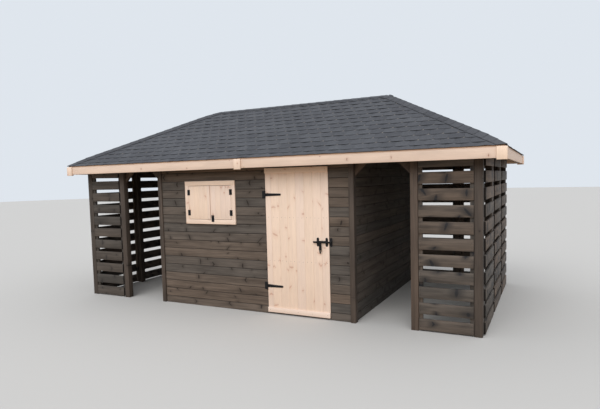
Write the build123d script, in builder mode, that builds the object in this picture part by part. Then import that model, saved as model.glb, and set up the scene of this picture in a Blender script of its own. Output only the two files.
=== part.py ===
from build123d import *
import math
import os

# Timber log store: a closed room of horizontal boards in the middle, an open log bay with slatted
# sides at each end, and one hipped roof with bitumen shingles over all three. Millimetres, +Z up.
# The origin is on the ground under the middle of the roof, and the door faces -Y.

# Plan of the walls
room_width = 3000.0
wall_depth = 3000.0
bay_width = 1430.0
front_panel_width = 765.0
post_size = 85.0
room_post_width = 65.0
post_chamfer = 4.0
end_wall_bays = 3

# Wall boards and the framing behind them
board_thickness = 20.0
board_setback = 20.0
stud_width = 45.0
sole_height = 45.0
room_stud_offset = 500.0

# Slats of the log bays
slat_height = 130.0
slat_gap = 51.7
slat_thickness = 20.0
slat_base = 14.0
slat_chamfer = 2.0
slat_end_gap = 5.0
left_panel_short = 25.0
outside_slat_gap = 12.0
batten_width = 45.0
batten_thickness = 30.0

# Corner braces of the bay openings
brace_leg = 210.0
brace_width = 85.0
brace_thickness = 40.0

# Roof
overhang_left = 170.0
overhang_right = 230.0
overhang_front = 200.0
overhang_back = 200.0
roof_pitch = 27.0
fascia_bottom = 1895.0
fascia_height = 125.0
fascia_thickness = 20.0
fascia_joint_from_middle = 25.0
fascia_joint_gap = 2.0
cover_block_width = 100.0
cover_block_thickness = 20.0
cover_block_drop = 16.0
deck_thickness = 18.0
covering_thickness = 6.0
covering_drip = 15.0
ridge_cap_thickness = 11.0
hip_cap_thickness = 28.0
hip_cap_head = 22.0
hip_cap_edge = 10.0
hip_cap_rise = 220.0
cap_half_width = 65.0
rafter_width = 45.0
rafter_depth = 90.0
rafter_spacing = 600.0
hip_rafter_depth = 115.0
ridge_board_thickness = 28.0
ridge_board_depth = 150.0
ridge_board_lap = 50.0
plate_height = 60.0
smallest_seat = 11.0
smallest_edge = 0.01

# Door
door_from_corner = 332.0
door_width = 878.0
door_bottom = 24.0
door_head_gap = 10.0
door_thickness = 18.0
door_back_gap = 5.0
door_hinge_gap = 5.0
door_lock_gap = 6.0
door_stop = 15.0
door_rail_height = 65.0
door_rail_thickness = 15.0
ledge_height = 95.0
ledge_thickness = 20.0
ledge_inset = 40.0
ledge_heights = (700.0, 1257.0)

# Door hinges
hinge_heights = (366.0, 1548.0)
hinge_plate_width = 44.0
hinge_plate_height = 95.0
hinge_plate_thickness = 5.0
strap_length = 230.0
strap_root = 40.0
strap_tip = 26.0
strap_thickness = 4.0
knuckle_radius = 7.0
pin_radius = 4.0
pin_clearance = 0.4
knuckle_clearance = 1.0
pin_offset = 8.0
hinge_plate_notch = 10.5

# Door bolt
bolt_height = 962.0
bolt_radius = 10.0
bolt_clearance = 0.6
bolt_length = 215.0
bolt_throw = 33.0
bolt_loop_width = 24.0
bolt_loop_wall = 4.0
bolt_plate_width = 32.0
bolt_plate_height = 110.0
bolt_plate_thickness = 3.0
bolt_back_height = 30.0
bolt_back_gap = 3.0
left_guide_from_edge = 148.0
right_guide_from_edge = 30.0
keeper_from_edge = 27.0
keeper_reach = 3.0
handle_from_edge = 113.0
handle_root = 28.0
handle_width = 34.0
handle_tip = 20.0
handle_widest = 88.0
handle_length = 140.0
handle_thickness = 5.0
handle_slot_length = 26.0
handle_slot_width = 8.0
collar_width = 16.0
collar_radius = 13.0

# Shutter
shutter_off_middle = 20.0
shutter_joint_off_middle = 15.0
shutter_bottom = 1155.0
shutter_width = 830.0
shutter_height = 588.0
shutter_bar = 62.0
shutter_frame_thickness = 23.0
shutter_leaf_thickness = 18.0
shutter_leaf_gap = 4.0
astragal_width = 43.0
astragal_thickness = 12.0
shutter_hinge_width = 44.0
shutter_hinge_height = 76.0
shutter_hinge_inset = 92.0
shutter_fitting_thickness = 3.0
shutter_knuckle_radius = 5.0
shutter_bolt_width = 44.0
shutter_bolt_length = 90.0
shutter_bolt_from_joint = 35.0
shutter_bolt_radius = 5.0
shutter_bolt_drop = 30.0

# Wall faces and post rows
wall_middle = (overhang_left - overhang_right) / 2
wall_right = wall_middle + room_width / 2 + bay_width
wall_left = wall_middle - room_width / 2 - bay_width
wall_back = wall_depth / 2
wall_front = -wall_back
room_right = wall_middle + room_width / 2
room_left = wall_middle - room_width / 2
inner_front = wall_front + post_size
inner_back = wall_back - post_size
stud_depth = post_size - board_setback - board_thickness
board_face = wall_front + board_setback
stud_face = board_face + board_thickness
left_inner_face = wall_left + front_panel_width
right_inner_face = wall_right - front_panel_width
slat_pitch = slat_height + slat_gap

# Roof outline and heights
roof_left = wall_left - overhang_left
roof_right = wall_right + overhang_right
roof_front = wall_front - overhang_front
roof_back = wall_back + overhang_back
half_run = (roof_back - roof_front) / 2
ridge_y = (roof_back + roof_front) / 2
ridge_left = roof_left + half_run
ridge_right = roof_right - half_run
roof_middle = (roof_left + roof_right) / 2
eaves_height = fascia_bottom + fascia_height
slope = math.tan(math.radians(roof_pitch))
slope_cos = math.cos(math.radians(roof_pitch))
hip_side = rafter_width / 2 * math.sqrt(2)


def deck_top(run):
    """Height of the roof boarding's upper face, at a level distance in from the fascia's face."""
    return eaves_height + run * slope


def covering_top(run):
    return deck_top(run) + covering_thickness / slope_cos


def rafter_top(run):
    return deck_top(run) - deck_thickness / slope_cos


def rafter_bottom(run):
    return rafter_top(run) - rafter_depth / slope_cos


deepest_overhang = max(overhang_left, overhang_right, overhang_front, overhang_back)
plate_top = rafter_bottom(deepest_overhang) + smallest_seat
plate_bottom = plate_top - plate_height
slat_count = int((plate_bottom - slat_base + slat_gap) // slat_pitch)

# Each roof slope: middle of its eaves line, direction of the eaves, direction of the rise, half its
# length at the eaves, and the distance from the fascia's face to the wall's outer face
half_length = (roof_right - roof_left) / 2
slopes = {
    "front": ((roof_middle, roof_front, 0), (1, 0, 0), (0, 1, 0), half_length, overhang_front),
    "right": ((roof_right, ridge_y, 0), (0, 1, 0), (-1, 0, 0), half_run, overhang_right),
    "back": ((roof_middle, roof_back, 0), (-1, 0, 0), (0, -1, 0), half_length, overhang_back),
    "left": ((roof_left, ridge_y, 0), (0, -1, 0), (1, 0, 0), half_run, overhang_left),
}


def bar(x, y, z, mode=Mode.ADD):
    """A square-edged timber between the low and high values of x, y and z."""
    with BuildSketch(Plane.XY.offset(z[0])) as outline:
        with Locations(((x[0] + x[1]) / 2, (y[0] + y[1]) / 2)):
            Rectangle(x[1] - x[0], y[1] - y[0])
    extrude(outline.sketch, amount=z[1] - z[0], mode=mode)


def post(x, y, width=post_size):
    """A post standing on the ground with its corner nearest the origin's -X, -Y side at x, y."""
    with BuildSketch() as outline:
        with Locations((x + width / 2, y + post_size / 2)):
            Rectangle(width, post_size)
        chamfer(outline.vertices(), post_chamfer)
    extrude(outline.sketch, amount=plate_bottom)


def slope_section(side, along, points, width):
    """Extrude an outline of (run, height) points, centred on a place along the eaves of a slope."""
    origin, eaves, rise, _, _ = slopes[side]
    start = Vector(*origin) + Vector(*eaves) * (along - width / 2)
    with BuildSketch(Plane(origin=start, x_dir=rise, z_dir=eaves)) as section:
        with BuildLine():
            Polyline(*points, close=True)
        make_face()
    extrude(section.sketch, amount=width)


def slope_region(side, first_run, last_run, side_gap=0.0):
    """Keep only what stands over one slope's plan, between its hip lines, less a gap at each hip."""
    origin, eaves, _, eaves_half, _ = slopes[side]
    top = min(last_run, eaves_half - side_gap)
    low_half = eaves_half - first_run - side_gap
    top_half = eaves_half - top - side_gap
    corners = [(-low_half, first_run), (low_half, first_run), (top_half, top)]
    if top_half > smallest_edge:
        corners.append((-top_half, top))
    with BuildSketch(Plane(origin=origin, x_dir=eaves, z_dir=(0, 0, 1))) as region:
        with BuildLine():
            Polyline(*corners, close=True)
        make_face()
    extrude(region.sketch, amount=2 * deck_top(half_run), mode=Mode.INTERSECT)


def slope_layer(side, low, high, first_run, last_run=half_run):
    """One sloping layer of the roof between two height functions, mitred at the hips and ridge."""
    reach = 2 * slopes[side][3] + 4 * covering_drip
    points = [
        (first_run, low(first_run)),
        (last_run, low(last_run)),
        (last_run, high(last_run)),
        (first_run, high(first_run)),
    ]
    slope_section(side, 0, points, reach)
    slope_region(side, first_run, last_run)


def hip_form(height, reach):
    """A solid hipped roof from the ground to a height function, reach beyond the fascia's face."""
    edge = height(-reach)
    depth_points = [
        (roof_front - reach, 0),
        (roof_back + reach, 0),
        (roof_back + reach, edge),
        (ridge_y, height(half_run)),
        (roof_front - reach, edge),
    ]
    with BuildSketch(Plane.YZ.offset(roof_left - reach)) as gable:
        with BuildLine():
            Polyline(*depth_points, close=True)
        make_face()
    extrude(gable.sketch, amount=roof_right - roof_left + 2 * reach)
    length_points = [
        (roof_left - reach, 0),
        (roof_right + reach, 0),
        (roof_right + reach, edge),
        (ridge_right, height(half_run)),
        (ridge_left, height(half_run)),
        (roof_left - reach, edge),
    ]
    with BuildSketch(Plane.XZ.offset(-roof_back - reach)) as ends:
        with BuildLine():
            Polyline(*length_points, close=True)
        make_face()
    extrude(ends.sketch, amount=2 * (half_run + reach), mode=Mode.INTERSECT)


def slat_rows():
    return [slat_base + slat_pitch * row for row in range(slat_count)]


def rafter_outline(overhang, last_run):
    """A rafter with plumb cuts at the fascia and at the top, notched over its wall plate."""
    first_run = fascia_thickness
    seat_end = overhang + (plate_top - rafter_bottom(overhang)) / slope
    return [
        (first_run, rafter_top(first_run)),
        (last_run, rafter_top(last_run)),
        (last_run, rafter_bottom(last_run)),
        (seat_end, plate_top),
        (overhang, plate_top),
        (overhang, rafter_bottom(overhang)),
        (first_run, rafter_bottom(first_run)),
    ]


def rafter_places(side):
    """Even places along the eaves, as far out as a jack rafter still bears on its wall plate."""
    _, _, _, eaves_half, overhang = slopes[side]
    farthest = eaves_half - hip_side - overhang - post_size - rafter_width
    count = int(farthest // rafter_spacing)
    return [rafter_spacing * step for step in range(-count, count + 1)]


def save(part, label):
    part.label = label
    export_step(part, f"parts/{label}.step")


os.makedirs("parts", exist_ok=True)

# Room walls of tongued boards, with the doorway and the shutter's opening cut through the front
door_right = room_right - door_from_corner
door_left = door_right - door_width
door_top = fascia_bottom - door_head_gap
doorway_left = door_left - door_hinge_gap
doorway_right = door_right + door_lock_gap
doorway_top = door_top + door_head_gap / 2
shutter_centre_x = (room_left + door_left) / 2 + shutter_off_middle
room_boards_x = (room_left + room_post_width, room_right - room_post_width)
front_boards_y = (board_face, stud_face)
window_x = (
    shutter_centre_x - shutter_width / 2 + shutter_bar,
    shutter_centre_x + shutter_width / 2 - shutter_bar,
)
window_z = (shutter_bottom + shutter_bar, shutter_bottom + shutter_height - shutter_bar)

with BuildPart() as front_wall_left:
    bar((room_boards_x[0], doorway_left), front_boards_y, (0, plate_bottom))
    bar(window_x, front_boards_y, window_z, mode=Mode.SUBTRACT)
save(front_wall_left.part, "front_wall_left")

with BuildPart() as front_wall_right:
    bar((doorway_right, room_boards_x[1]), front_boards_y, (0, plate_bottom))
save(front_wall_right.part, "front_wall_right")

with BuildPart() as front_wall_over_door:
    bar((doorway_left, doorway_right), front_boards_y, (doorway_top, plate_bottom))
save(front_wall_over_door.part, "front_wall_over_door")

with BuildPart() as back_wall:
    bar(room_boards_x, (-stud_face, -board_face), (0, plate_bottom))
save(back_wall.part, "back_wall")

left_boards_x = (room_left + board_setback, room_left + board_setback + board_thickness)
right_boards_x = (room_right - board_setback - board_thickness, room_right - board_setback)
with BuildPart() as left_room_wall:
    bar(left_boards_x, (inner_front, inner_back), (0, plate_bottom))
save(left_room_wall.part, "left_room_wall")

with BuildPart() as right_room_wall:
    bar(right_boards_x, (inner_front, inner_back), (0, plate_bottom))
save(right_room_wall.part, "right_room_wall")

# Posts
with BuildPart() as room_posts:
    for x in (room_left, room_right - room_post_width):
        for y in (wall_front, inner_back):
            post(x, y, width=room_post_width)
save(room_posts.part, "room_posts")

end_bay = wall_depth / end_wall_bays
middle_post_rows = [wall_front + end_bay * step for step in range(1, end_wall_bays)]


def bay_posts(end):
    """The posts of one log bay. end is -1 for the left bay and 1 for the right one."""
    outer_x = wall_right - post_size if end > 0 else wall_left
    inner_x = right_inner_face if end > 0 else left_inner_face - post_size
    for y in (wall_front, inner_back):
        post(outer_x, y)
        post(inner_x, y)
    for y in middle_post_rows:
        post(outer_x, y - post_size / 2)


with BuildPart() as left_bay_posts:
    bay_posts(-1)
save(left_bay_posts.part, "left_bay_posts")

with BuildPart() as right_bay_posts:
    bay_posts(1)
save(right_bay_posts.part, "right_bay_posts")

# Framing behind the room's boards
front_studs_x = [
    window_x[0] - stud_width,
    window_x[1],
    door_left + door_stop - stud_width,
    door_right - door_stop,
]
with BuildPart() as wall_studs:
    for x in front_studs_x:
        bar((x, x + stud_width), (stud_face, inner_front), (sole_height, plate_bottom))
    for place in (-room_stud_offset, room_stud_offset):
        back_x = wall_middle + place
        back_stud = (back_x - stud_width / 2, back_x + stud_width / 2)
        bar(back_stud, (inner_back, -stud_face), (sole_height, plate_bottom))
        side_stud = (place - stud_width / 2, place + stud_width / 2)
        for x in (left_boards_x[1], right_boards_x[0] - stud_depth):
            bar((x, x + stud_depth), side_stud, (sole_height, plate_bottom))
save(wall_studs.part, "wall_studs")

door_head_x = (door_left + door_stop, door_right - door_stop)
with BuildPart() as wall_rails:
    bar(room_boards_x, (stud_face, inner_front), (0, sole_height))
    bar(room_boards_x, (inner_back, -stud_face), (0, sole_height))
    bar(door_head_x, (stud_face, inner_front), (door_top - door_stop, plate_bottom))
    bar(window_x, (stud_face, inner_front), (window_z[0] - stud_width, window_z[0]))
    bar(window_x, (stud_face, inner_front), (window_z[1], window_z[1] + stud_width))
save(wall_rails.part, "wall_rails")

with BuildPart() as side_sole_plates:
    for x in (left_boards_x[1], right_boards_x[0] - stud_depth):
        bar((x, x + stud_depth), (inner_front, inner_back), (0, sole_height))
save(side_sole_plates.part, "side_sole_plates")

# Wall plates that carry the rafters
with BuildPart() as long_top_plates:
    bar((wall_left, wall_right), (wall_front, inner_front), (plate_bottom, plate_top))
    bar((wall_left, wall_right), (inner_back, wall_back), (plate_bottom, plate_top))
save(long_top_plates.part, "long_top_plates")

with BuildPart() as cross_top_plates:
    for x in (wall_left, room_left, room_right - post_size, wall_right - post_size):
        bar((x, x + post_size), (inner_front, inner_back), (plate_bottom, plate_top))
save(cross_top_plates.part, "cross_top_plates")

# Braces in the top corners of the two bay openings
brace_foot = plate_bottom - brace_leg
brace_cut = brace_width * math.sqrt(2)
brace_corners = [
    (left_inner_face, 1),
    (room_left, -1),
    (room_right, 1),
    (right_inner_face, -1),
]
with BuildPart() as corner_braces:
    for corner_x, turn in brace_corners:
        with BuildSketch(Plane.XZ.offset(-inner_front)):
            with BuildLine():
                Polyline(
                    (corner_x, brace_foot),
                    (corner_x + turn * brace_leg, plate_bottom),
                    (corner_x + turn * (brace_leg - brace_cut), plate_bottom),
                    (corner_x, brace_foot + brace_cut),
                    close=True,
                )
            make_face()
        extrude(amount=brace_thickness)
save(corner_braces.part, "corner_braces")


def slat(x, y, z_low):
    """One board with eased long edges, lying along its longer side."""
    along_x = x[1] - x[0] > y[1] - y[0]
    length = x[1] - x[0] if along_x else y[1] - y[0]
    middle = ((y[0] + y[1]) / 2 if along_x else (x[0] + x[1]) / 2, z_low + slat_height / 2)
    start = Plane.YZ.offset(x[0]) if along_x else Plane.XZ.offset(-y[1])
    with BuildSketch(start) as section:
        with Locations(middle):
            Rectangle(slat_thickness, slat_height)
        chamfer(section.vertices(), slat_chamfer)
    extrude(section.sketch, amount=length)


def front_panel(post_side, far_side, short_gap):
    """Slats between two posts, nailed on a batten at each end. The posts' facing sides are given."""
    turn = 1 if far_side > post_side else -1
    ends = sorted((post_side + turn * slat_end_gap, far_side - turn * short_gap))
    for z in slat_rows():
        slat(ends, (wall_front, wall_front + slat_thickness), z)
    batten_y = (wall_front + slat_thickness, wall_front + slat_thickness + batten_thickness)
    for side, way in ((post_side, turn), (far_side, -turn)):
        bar(sorted((side, side + way * batten_width)), batten_y, (slat_base, plate_bottom))


with BuildPart() as left_front_slats:
    front_panel(wall_left + post_size, left_inner_face - post_size, left_panel_short)
save(left_front_slats.part, "left_front_slats")

with BuildPart() as right_front_slats:
    front_panel(wall_right - post_size, right_inner_face + post_size, slat_end_gap)
save(right_front_slats.part, "right_front_slats")


def outside_panel(start, end, face, turn, along_x):
    """Slats between two posts, standing out from the posts' faces on a batten beside each post."""
    boards = sorted((face, face + turn * slat_thickness))
    board_ends = (start + outside_slat_gap, end - outside_slat_gap)
    for z in slat_rows():
        if along_x:
            slat(board_ends, boards, z)
        else:
            slat(boards, board_ends, z)
    behind = sorted((face, face - turn * batten_thickness))
    for batten in ((start, start + batten_width), (end - batten_width, end)):
        if along_x:
            bar(batten, behind, (slat_base, plate_bottom))
        else:
            bar(behind, batten, (slat_base, plate_bottom))


def end_wall_panels(face, turn):
    stops = [inner_front]
    for y in middle_post_rows:
        stops += [y - post_size / 2, y + post_size / 2]
    stops.append(inner_back)
    for start, end in zip(stops[::2], stops[1::2]):
        outside_panel(start, end, face, turn, along_x=False)


with BuildPart() as left_end_slats:
    end_wall_panels(wall_left, -1)
save(left_end_slats.part, "left_end_slats")

with BuildPart() as right_end_slats:
    end_wall_panels(wall_right, 1)
save(right_end_slats.part, "right_end_slats")

with BuildPart() as left_back_slats:
    outside_panel(wall_left + post_size, left_inner_face - post_size, wall_back, 1, along_x=True)
    outside_panel(left_inner_face, room_left, wall_back, 1, along_x=True)
save(left_back_slats.part, "left_back_slats")

with BuildPart() as right_back_slats:
    outside_panel(room_right, right_inner_face, wall_back, 1, along_x=True)
    outside_panel(right_inner_face + post_size, wall_right - post_size, wall_back, 1, along_x=True)
save(right_back_slats.part, "right_back_slats")

# Roof timbers
with BuildPart() as rafter_space:
    hip_form(rafter_top, 0.0)

ridge_top = rafter_top(half_run)
with BuildPart() as ridge_board:
    bar(
        (ridge_left - ridge_board_lap, ridge_right + ridge_board_lap),
        (ridge_y - ridge_board_thickness / 2, ridge_y + ridge_board_thickness / 2),
        (ridge_top - ridge_board_depth, ridge_top),
    )
    add(rafter_space.part, mode=Mode.INTERSECT)
save(ridge_board.part, "ridge_board")

hip_corners = [
    (roof_left, roof_front, 1, 1),
    (roof_right, roof_front, -1, 1),
    (roof_right, roof_back, -1, -1),
    (roof_left, roof_back, 1, -1),
]
hip_first = fascia_thickness + hip_side
hip_last = half_run - ridge_board_thickness / 2
with BuildPart() as hip_rafters:
    for corner_x, corner_y, way_x, way_y in hip_corners:
        hip_dir = Vector(way_x, way_y, 0).normalized()
        hip_face = hip_dir.cross(Vector(0, 0, 1))
        hip_start = Vector(corner_x, corner_y, 0) - hip_face * (rafter_width / 2)
        with BuildSketch(Plane(origin=hip_start, x_dir=hip_dir, z_dir=hip_face)):
            with BuildLine():
                Polyline(
                    (hip_first * math.sqrt(2), rafter_top(hip_first) - hip_rafter_depth / slope_cos),
                    (hip_last * math.sqrt(2), rafter_top(hip_last) - hip_rafter_depth / slope_cos),
                    (hip_last * math.sqrt(2), rafter_top(hip_last) + rafter_depth),
                    (hip_first * math.sqrt(2), rafter_top(hip_first) + rafter_depth),
                    close=True,
                )
            make_face()
        extrude(amount=rafter_width)
    add(rafter_space.part, mode=Mode.INTERSECT)
    for x, y in (
        ((wall_left, wall_right), (wall_front, inner_front)),
        ((wall_left, wall_right), (inner_back, wall_back)),
        ((wall_left, wall_left + post_size), (inner_front, inner_back)),
        ((wall_right - post_size, wall_right), (inner_front, inner_back)),
    ):
        bar(x, y, (0, plate_top), mode=Mode.SUBTRACT)
    bar(
        (ridge_left - ridge_board_lap, ridge_right + ridge_board_lap),
        (ridge_y - ridge_board_thickness / 2, ridge_y + ridge_board_thickness / 2),
        (0, ridge_top),
        mode=Mode.SUBTRACT,
    )
save(hip_rafters.part, "hip_rafters")


def slope_rafters(side, last_run):
    """Common and jack rafters of one slope, cut to the sides of the hip rafters."""
    overhang = slopes[side][4]
    for along in rafter_places(side):
        slope_section(side, along, rafter_outline(overhang, last_run), rafter_width)
    slope_region(side, fascia_thickness, last_run, hip_side)


common_last = half_run - ridge_board_thickness / 2
with BuildPart() as front_rafters:
    slope_rafters("front", common_last)
save(front_rafters.part, "front_rafters")

with BuildPart() as back_rafters:
    slope_rafters("back", common_last)
save(back_rafters.part, "back_rafters")

end_last = half_run - ridge_board_lap
with BuildPart() as left_rafters:
    slope_rafters("left", end_last)

with BuildPart() as end_rafters:
    slope_rafters("right", end_last)
    add(left_rafters.part)
save(end_rafters.part, "end_rafters")

# Roof boarding and the shingle covering, one sloping layer for each slope
with BuildPart() as front_roof_boards:
    slope_layer("front", rafter_top, deck_top, fascia_thickness)
save(front_roof_boards.part, "front_roof_boards")

with BuildPart() as back_roof_boards:
    slope_layer("back", rafter_top, deck_top, fascia_thickness)
save(back_roof_boards.part, "back_roof_boards")

with BuildPart() as left_roof_boards:
    slope_layer("left", rafter_top, deck_top, fascia_thickness)

with BuildPart() as end_roof_boards:
    slope_layer("right", rafter_top, deck_top, fascia_thickness)
    add(left_roof_boards.part)
save(end_roof_boards.part, "end_roof_boards")

with BuildPart() as front_shingles:
    slope_layer("front", deck_top, covering_top, -covering_drip)
save(front_shingles.part, "front_shingles")

with BuildPart() as back_shingles:
    slope_layer("back", deck_top, covering_top, -covering_drip)
save(back_shingles.part, "back_shingles")

with BuildPart() as left_shingles:
    slope_layer("left", deck_top, covering_top, -covering_drip)

with BuildPart() as end_shingles:
    slope_layer("right", deck_top, covering_top, -covering_drip)
    add(left_shingles.part)
save(end_shingles.part, "end_shingles")

# Shingle caps folded over the hips and the ridge
with BuildPart() as covered_roof:
    hip_form(covering_top, covering_drip)


def ridge_cap_top(run):
    return covering_top(run) + ridge_cap_thickness / slope_cos


def hip_cap_foot(run):
    """Top of the lowest hip caps, which thicken from the eaves up as more of them lap."""
    share = (run + covering_drip) / hip_cap_rise
    thickness = hip_cap_edge + (hip_cap_thickness - hip_cap_edge) * share
    return covering_top(run) + thickness / slope_cos


def hip_cap_top(run):
    """Top of the hip caps above their foot, thinning towards the ridge."""
    thickness = hip_cap_thickness + (hip_cap_head - hip_cap_thickness) * run / half_run
    return covering_top(run) + thickness / slope_cos


ridge_cap_lap = cap_half_width * math.sqrt(2)


def ridge_band(mode):
    bar(
        (ridge_left - ridge_cap_lap, ridge_right + ridge_cap_lap),
        (ridge_y - cap_half_width, ridge_y + cap_half_width),
        (0, 2 * ridge_cap_top(half_run)),
        mode=mode,
    )


with BuildPart() as hip_cap_body:
    hip_form(hip_cap_top, covering_drip)

with BuildPart() as hip_caps:
    hip_form(hip_cap_foot, covering_drip)
    add(hip_cap_body.part, mode=Mode.INTERSECT)
    add(covered_roof.part, mode=Mode.SUBTRACT)
    with BuildSketch() as hip_bands:
        for corner_x, corner_y, way_x, way_y in hip_corners:
            low = -covering_drip
            side = cap_half_width / math.sqrt(2)
            high = half_run - side
            with BuildLine():
                Polyline(
                    (corner_x + way_x * low, corner_y + way_y * low),
                    (corner_x + way_x * (low + 2 * side), corner_y + way_y * low),
                    (corner_x + way_x * (high + side), corner_y + way_y * (high - side)),
                    (corner_x + way_x * high, corner_y + way_y * high),
                    (corner_x + way_x * (high - side), corner_y + way_y * (high + side)),
                    (corner_x + way_x * low, corner_y + way_y * (low + 2 * side)),
                    close=True,
                )
            make_face()
    extrude(hip_bands.sketch, amount=2 * hip_cap_foot(half_run), mode=Mode.INTERSECT)
    ridge_band(Mode.SUBTRACT)
save(hip_caps.part, "hip_caps")

with BuildPart() as ridge_cap:
    hip_form(ridge_cap_top, covering_drip)
    add(covered_roof.part, mode=Mode.SUBTRACT)
    ridge_band(Mode.INTERSECT)
save(ridge_cap.part, "ridge_cap")

# Fascia boards, mitred at the corners, with a joint in the middle of the long sides
fascia_joint_x = wall_middle + fascia_joint_from_middle


def fascia(side):
    points = [
        (0, fascia_bottom),
        (fascia_thickness, fascia_bottom),
        (fascia_thickness, deck_top(fascia_thickness)),
        (0, deck_top(0)),
    ]
    slope_section(side, 0, points, 2 * slopes[side][3])
    slope_region(side, 0, fascia_thickness)


def fascia_joint():
    bar(
        (fascia_joint_x - fascia_joint_gap / 2, fascia_joint_x + fascia_joint_gap / 2),
        (roof_front, roof_back),
        (0, 2 * eaves_height),
        mode=Mode.SUBTRACT,
    )


with BuildPart() as front_fascia:
    fascia("front")
    fascia_joint()
save(front_fascia.part, "front_fascia")

with BuildPart() as back_fascia:
    fascia("back")
    fascia_joint()
save(back_fascia.part, "back_fascia")

with BuildPart() as left_fascia:
    fascia("left")

with BuildPart() as end_fascias:
    fascia("right")
    add(left_fascia.part)
save(end_fascias.part, "end_fascias")

# Short upright boards that cover the fascia's joints and corners
block_inner = cover_block_width - cover_block_thickness
block_bottom = fascia_bottom - cover_block_drop
block_top = deck_top(-cover_block_thickness)
with BuildPart() as fascia_cover_blocks:
    with BuildSketch(Plane.XY.offset(block_bottom)) as blocks:
        for corner_x, corner_y, way_x, way_y in hip_corners:
            out_x = corner_x - way_x * cover_block_thickness
            out_y = corner_y - way_y * cover_block_thickness
            in_x = corner_x + way_x * block_inner
            in_y = corner_y + way_y * block_inner
            with BuildLine():
                Polyline(
                    (out_x, out_y),
                    (in_x, out_y),
                    (in_x, corner_y),
                    (corner_x, corner_y),
                    (corner_x, in_y),
                    (out_x, in_y),
                    close=True,
                )
            make_face()
        for y in (roof_front - cover_block_thickness / 2, roof_back + cover_block_thickness / 2):
            with Locations((fascia_joint_x, y)):
                Rectangle(cover_block_width, cover_block_thickness)
    extrude(amount=block_top - block_bottom)
save(fascia_cover_blocks.part, "fascia_cover_blocks")

# Door leaf: upright planks, a rail across the top and bottom outside, two ledges inside
door_back = stud_face - door_back_gap
door_face = door_back - door_thickness
with BuildPart() as door_planks:
    bar((door_left, door_right), (door_face, door_back), (door_bottom, door_top))
save(door_planks.part, "door_planks")

with BuildPart() as door_rails:
    outer_rail_y = (door_face - door_rail_thickness, door_face)
    for z in (door_bottom, door_top - door_rail_height):
        bar((door_left, door_right), outer_rail_y, (z, z + door_rail_height))
    for z in ledge_heights:
        bar(
            (door_left + ledge_inset, door_right - ledge_inset),
            (door_back, door_back + ledge_thickness),
            (z - ledge_height / 2, z + ledge_height / 2),
        )
save(door_rails.part, "door_rails")

# Strap hinges: a plate and two outer knuckles on the wall, a strap and a middle knuckle on the door
pin_x = door_left - door_hinge_gap / 2
pin_y = door_face - pin_offset
middle_knuckle = strap_root
outer_knuckle = (hinge_plate_height - middle_knuckle) / 2 - knuckle_clearance


def disc(radius, z_low, height, mode=Mode.ADD):
    with BuildSketch(Plane.XY.offset(z_low)) as circle:
        with Locations((pin_x, pin_y)):
            Circle(radius)
    extrude(circle.sketch, amount=height, mode=mode)


with BuildPart() as door_hinge_plates:
    for z in hinge_heights:
        low = z - hinge_plate_height / 2
        plate_y = (board_face - hinge_plate_thickness, board_face)
        bar((pin_x - hinge_plate_width, pin_x), plate_y, (low, low + hinge_plate_height))
        notch_half = middle_knuckle / 2 + knuckle_clearance
        notch_z = (z - notch_half, z + notch_half)
        bar((pin_x - hinge_plate_notch, pin_x), plate_y, notch_z, mode=Mode.SUBTRACT)
        disc(knuckle_radius, low, outer_knuckle)
        disc(knuckle_radius, low + hinge_plate_height - outer_knuckle, outer_knuckle)
        disc(pin_radius, low, hinge_plate_height)
save(door_hinge_plates.part, "door_hinge_plates")

with BuildPart() as door_hinge_straps:
    for z in hinge_heights:
        with BuildSketch(Plane.XZ.offset(-door_face)):
            with BuildLine():
                Polyline(
                    (pin_x + pin_radius, z - strap_root / 2),
                    (pin_x + strap_length - strap_tip / 2, z - strap_tip / 2),
                )
                ThreePointArc(
                    (pin_x + strap_length - strap_tip / 2, z - strap_tip / 2),
                    (pin_x + strap_length, z),
                    (pin_x + strap_length - strap_tip / 2, z + strap_tip / 2),
                )
                Polyline(
                    (pin_x + strap_length - strap_tip / 2, z + strap_tip / 2),
                    (pin_x + pin_radius, z + strap_root / 2),
                    (pin_x + pin_radius, z - strap_root / 2),
                )
            make_face()
        extrude(amount=strap_thickness)
        disc(knuckle_radius, z - middle_knuckle / 2, middle_knuckle)
        disc(pin_radius + pin_clearance, z - middle_knuckle / 2, middle_knuckle, mode=Mode.SUBTRACT)
save(door_hinge_straps.part, "door_hinge_straps")

# Door bolt: a round rod in two looped guides on one strip on the door, and a looped keeper on the wall
bolt_y = door_face - bolt_plate_thickness - bolt_back_gap - bolt_radius
loop_radius = bolt_radius + bolt_clearance + bolt_loop_wall


def loop(x_middle, back_y, hole_radius, plate_width):
    """A tall thin plate with rounded ends, and a loop standing off it for the rod."""
    with BuildSketch(Plane.XZ.offset(-back_y)) as plate:
        with Locations((x_middle, bolt_height)):
            SlotOverall(bolt_plate_height, plate_width, rotation=90)
    extrude(plate.sketch, amount=bolt_plate_thickness)
    with BuildSketch(Plane.YZ.offset(x_middle - bolt_loop_width / 2)) as ring:
        with Locations((bolt_y, bolt_height)):
            Circle(loop_radius)
        with Locations(((bolt_y + back_y - bolt_plate_thickness) / 2, bolt_height)):
            Rectangle(back_y - bolt_plate_thickness - bolt_y, 2 * loop_radius)
        with Locations((bolt_y, bolt_height)):
            Circle(hole_radius, mode=Mode.SUBTRACT)
    extrude(ring.sketch, amount=bolt_loop_width)


with BuildPart() as bolt_guides:
    guides_x = (door_right - left_guide_from_edge, door_right - right_guide_from_edge)
    for guide_x in guides_x:
        loop(guide_x, door_face, bolt_radius + bolt_clearance, bolt_plate_width)
    bar(
        guides_x,
        (door_face - bolt_plate_thickness, door_face),
        (bolt_height - bolt_back_height / 2, bolt_height + bolt_back_height / 2),
    )
save(bolt_guides.part, "bolt_guides")

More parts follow.
